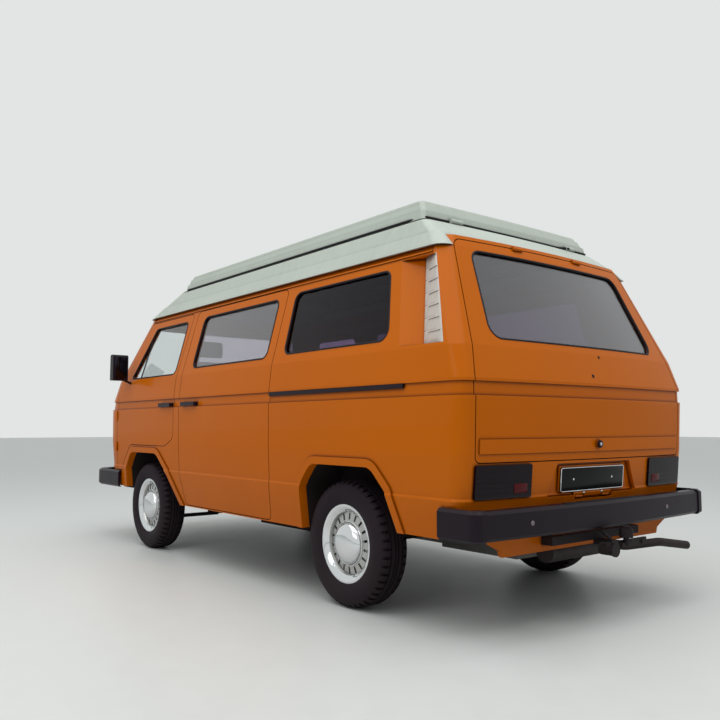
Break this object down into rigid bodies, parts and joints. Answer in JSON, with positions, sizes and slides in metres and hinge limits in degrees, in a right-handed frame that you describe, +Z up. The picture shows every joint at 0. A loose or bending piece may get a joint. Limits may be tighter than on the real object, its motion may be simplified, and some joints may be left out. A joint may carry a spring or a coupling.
{
  "type": "camper van",
  "caption": "Boxy camper van with a lifting roof, a sliding side door, a tailgate and black bumpers; doors, gate, roof, steering and wheels move.",
  "frame": {"origin": "middle of the van's length and width, on the ground", "axes": "the van faces -Y, its left side with the sliding door is +X, +Z is up"},
  "size_m": [2.136, 4.6668, 2.092],
  "materials": {
    "body_paint": "semi-gloss amber-orange paint",
    "roof_shell": "satin greyish-white moulded shell",
    "rubber": "matt black",
    "underbody": "matt dark underseal",
    "glass": "tinted",
    "black_trim": "matt black",
    "lamp_clear": "clear ribbed lens",
    "lamp_red": "red lens",
    "chassis_steel": "satin black",
    "wheel_silver": "silver enamel",
    "tyre": "matt black",
    "engine_metal": "dull cast",
    "exhaust_steel": "weathered",
    "seat_fabric": "woven, grey-brown",
    "interior_plastic": "grained dark grey",
    "cabinet_wood": "light veneer"
  },
  "bodies": {
    "body": {"side_left": "body_paint", "side_right": "body_paint", "nose_panel": "body_paint", "windscreen_frame": "body_paint", "rear_panel": "body_paint", "rear_header": "body_paint", "rear_apron": "body_paint", "sliding_door": "body_paint", "roof_lower": "roof_shell", "roof_seal": "rubber", "floor_pan": "underbody", "wheel_tubs": "underbody", "chassis_rails": "underbody", "fuel_tank": "underbody", "windscreen": "glass", "side_glass": "glass", "slider_trim": "black_trim", "pillar_vents": "black_trim", "front_grilles": "black_trim", "front_bumper": "black_trim", "rear_bumper": "black_trim", "bumper_caps": "black_trim", "front_lamps": "lamp_clear", "tail_lamps": "lamp_red", "tow_bar": "chassis_steel", "front_suspension": "chassis_steel", "rear_suspension": "chassis_steel", "engine": "engine_metal", "exhaust": "exhaust_steel", "front_seats": "seat_fabric", "bench_cushions": "seat_fabric", "dashboard": "interior_plastic", "steering_wheel": "interior_plastic", "furniture": "cabinet_wood"},
    "front_door_left": {"door_left": "body_paint", "door_glass_left": "glass", "door_trim_left": "black_trim"},
    "front_door_right": {"door_right": "body_paint", "door_glass_right": "glass", "door_trim_right": "black_trim"},
    "rear_gate": {"tailgate": "body_paint", "tailgate_glass": "glass"},
    "lifting_lid": {"roof_lid": "roof_shell"},
    "plate_holder": {"plate_flap": "black_trim"},
    "filler_flap": {"fuel_flap": "body_paint"},
    "steering_left": {"knuckle_left": "chassis_steel"},
    "steering_right": {"knuckle_right": "chassis_steel"},
    "wheel_front_left": {"rim_front_left": "wheel_silver", "tyre_front_left": "tyre"},
    "wheel_front_right": {"rim_front_right": "wheel_silver", "tyre_front_right": "tyre"},
    "wheel_rear_left": {"rim_rear_left": "wheel_silver", "tyre_rear_left": "tyre"},
    "wheel_rear_right": {"rim_rear_right": "wheel_silver", "tyre_rear_right": "tyre"}
  },
  "joints": [
    {"name": "front_door_left_swing", "type": "hinge", "parent": "body", "child": "front_door_left", "pos_m": [0.9225, -1.784, 0.885], "axis": [0, 0, -1], "range_deg": [0, 70]},
    {"name": "front_door_right_swing", "type": "hinge", "parent": "body", "child": "front_door_right", "pos_m": [-0.9225, -1.784, 0.885], "axis": [0, 0, 1], "range_deg": [0, 70]},
    {"name": "rear_gate_lift", "type": "hinge", "parent": "body", "child": "rear_gate", "pos_m": [0, 1.8822, 1.8285], "axis": [1, 0, 0], "range_deg": [0, 85]},
    {"name": "lid_lift", "type": "hinge", "parent": "body", "child": "lifting_lid", "pos_m": [0, 1.6705, 1.974], "axis": [-1, 0, 0], "range_deg": [0, 24]},
    {"name": "plate_fold", "type": "hinge", "parent": "body", "child": "plate_holder", "pos_m": [0, 2.1155, 0.584], "axis": [-1, 0, 0], "range_deg": [0, 75], "stiffness_Nm_per_rad": 3, "springref_deg": -17.19},
    {"name": "filler_flap_swing", "type": "hinge", "parent": "body", "child": "filler_flap", "pos_m": [-0.9195, -0.68, 0.7075], "axis": [0, 0, 1], "range_deg": [0, 100]},
    {"name": "steer_left", "type": "hinge", "parent": "body", "child": "steering_left", "pos_m": [0.72, -1.2335, 0.322], "axis": [0, 0, 1], "range_deg": [-30, 30]},
    {"name": "steer_right", "type": "hinge", "parent": "body", "child": "steering_right", "pos_m": [-0.72, -1.2335, 0.322], "axis": [0, 0, 1], "range_deg": [-30, 30]},
    {"name": "wheel_front_left_spin", "type": "hinge", "parent": "steering_left", "child": "wheel_front_left", "pos_m": [0.7925, -1.2335, 0.322], "axis": [1, 0, 0], "continuous": true},
    {"name": "wheel_front_right_spin", "type": "hinge", "parent": "steering_right", "child": "wheel_front_right", "pos_m": [-0.7925, -1.2335, 0.322], "axis": [1, 0, 0], "continuous": true},
    {"name": "wheel_rear_left_spin", "type": "hinge", "parent": "body", "child": "wheel_rear_left", "pos_m": [0.785, 1.2275, 0.322], "axis": [1, 0, 0], "continuous": true},
    {"name": "wheel_rear_right_spin", "type": "hinge", "parent": "body", "child": "wheel_rear_right", "pos_m": [-0.785, 1.2275, 0.322], "axis": [1, 0, 0], "continuous": true}
  ],
  "couplings": [
    {"joint": "steer_right", "follows": "steer_left", "ratio": 1}
  ]
}
